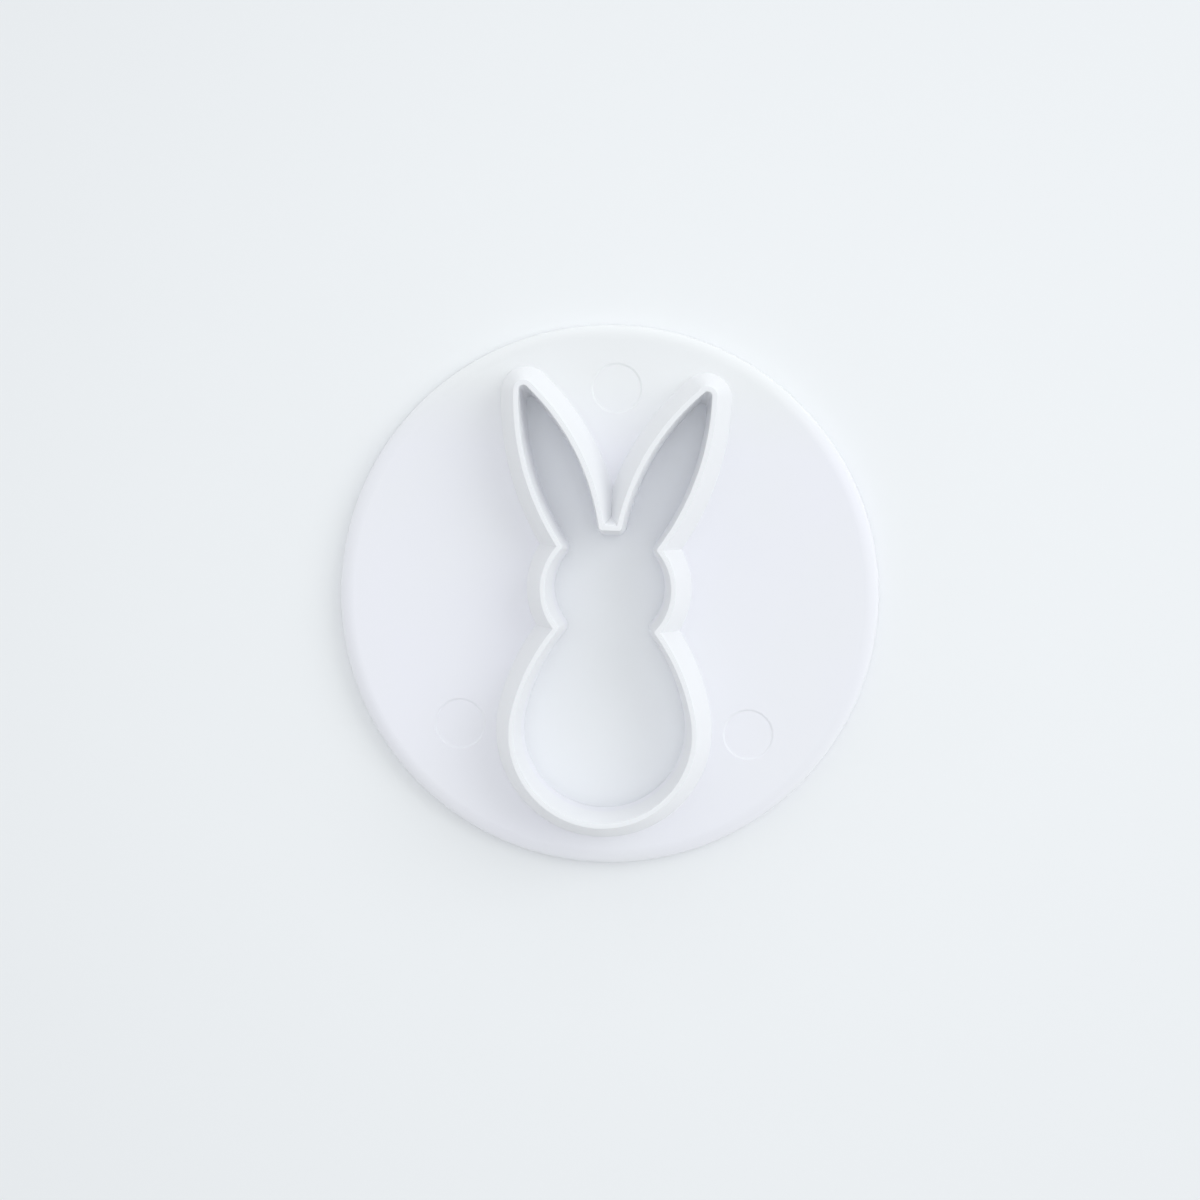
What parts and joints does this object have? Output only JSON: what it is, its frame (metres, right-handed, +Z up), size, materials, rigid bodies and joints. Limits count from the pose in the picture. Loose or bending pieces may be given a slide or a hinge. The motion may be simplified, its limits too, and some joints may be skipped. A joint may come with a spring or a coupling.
{
  "type": "fondant cutter",
  "caption": "Round press plate with a rabbit-shaped cutting wall standing on it and an opening right through, for stamping a rabbit from rolled fondant.",
  "frame": {"origin": "centre of the plate's underside", "axes": "+Z up through the plate to the cutting lip, +Y towards the rabbit's ears, +X to the rabbit's right-hand side as seen from above"},
  "size_m": [0.085, 0.085, 0.013],
  "materials": {
    "white_plastic": "satin white moulded plastic, faintly translucent in thin walls"
  },
  "bodies": {
    "root": {"press_plate": "white_plastic", "cutter_blade": "white_plastic"}
  },
  "joints": []
}
